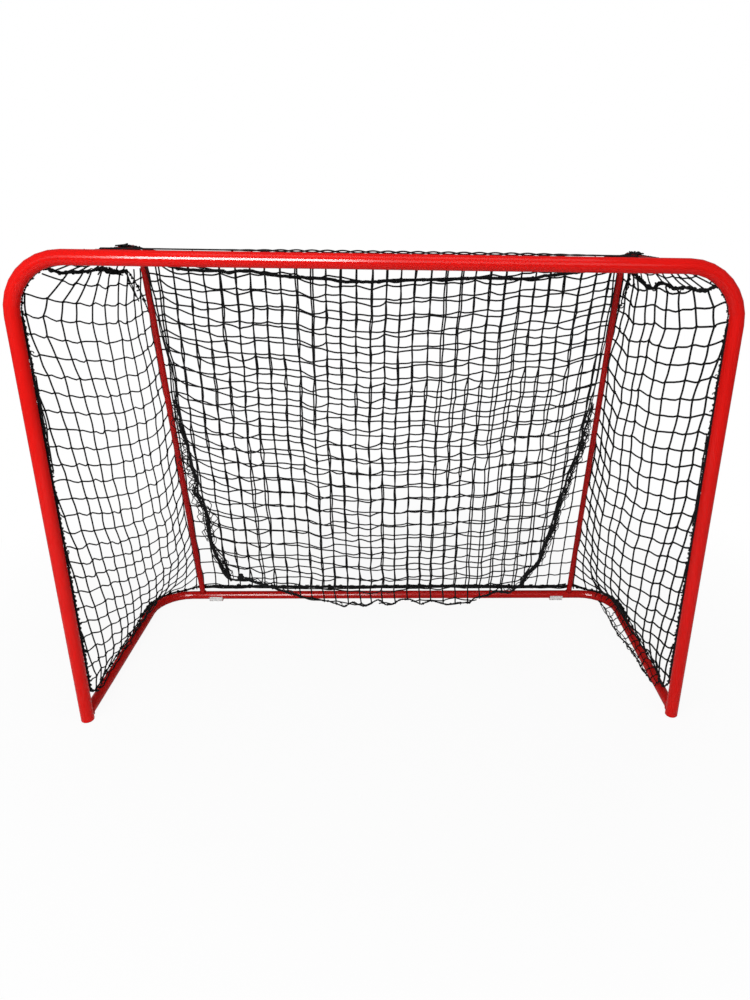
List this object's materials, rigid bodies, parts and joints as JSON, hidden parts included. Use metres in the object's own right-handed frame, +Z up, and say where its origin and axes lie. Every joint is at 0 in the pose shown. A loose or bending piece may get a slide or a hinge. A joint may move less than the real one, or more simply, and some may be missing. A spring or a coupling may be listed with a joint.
{
  "type": "floorball goal",
  "caption": "Floorball goal with a welded red tube frame, a laced black main net and a drop net that hangs inside it to stop the ball.",
  "frame": {"origin": "middle of the footprint on the floor, under the centre of the bounding box", "axes": "+X to the right along the crossbar as a player who shoots sees it, +Y from the mouth to the back, +Z up"},
  "size_m": [1.4608, 0.6208, 1.08],
  "materials": {
    "front_enamel": "gloss",
    "base_enamel": "gloss",
    "stay_enamel": "gloss",
    "weld_enamel": "gloss",
    "pad_plastic": "satin",
    "plug_plastic": "matte",
    "net_twine": "matte",
    "cord_braid": "matte"
  },
  "bodies": {
    "frame": {"back_net": "net_twine", "base_cord": "cord_braid", "base_frame": "base_enamel", "front_frame": "front_enamel", "left_back_seam": "cord_braid", "left_bar_weld": "weld_enamel", "left_floor_pad": "pad_plastic", "left_foot_weld": "weld_enamel", "left_lacing": "cord_braid", "left_leg_plug": "plug_plastic", "left_leg_weld": "weld_enamel", "left_net": "net_twine", "left_roof_side": "net_twine", "left_stay": "stay_enamel", "left_tie": "cord_braid", "left_top_seam": "cord_braid", "right_back_seam": "cord_braid", "right_bar_weld": "weld_enamel", "right_floor_pad": "pad_plastic", "right_foot_weld": "weld_enamel", "right_lacing": "cord_braid", "right_leg_plug": "plug_plastic", "right_leg_weld": "weld_enamel", "right_net": "net_twine", "right_roof_side": "net_twine", "right_stay": "stay_enamel", "right_tie": "cord_braid", "right_top_seam": "cord_braid", "roof_seam": "cord_braid", "top_net": "net_twine"},
    "drop_net": {"drop_net": "net_twine", "drop_rope": "cord_braid", "drop_hem": "cord_braid"}
  },
  "joints": [
    {"name": "drop_net_swing", "type": "hinge", "parent": "frame", "child": "drop_net", "pos_m": [0, 0.08777, 1.04743], "axis": [1, 0, 0], "range_deg": [-80, 10]}
  ]
}
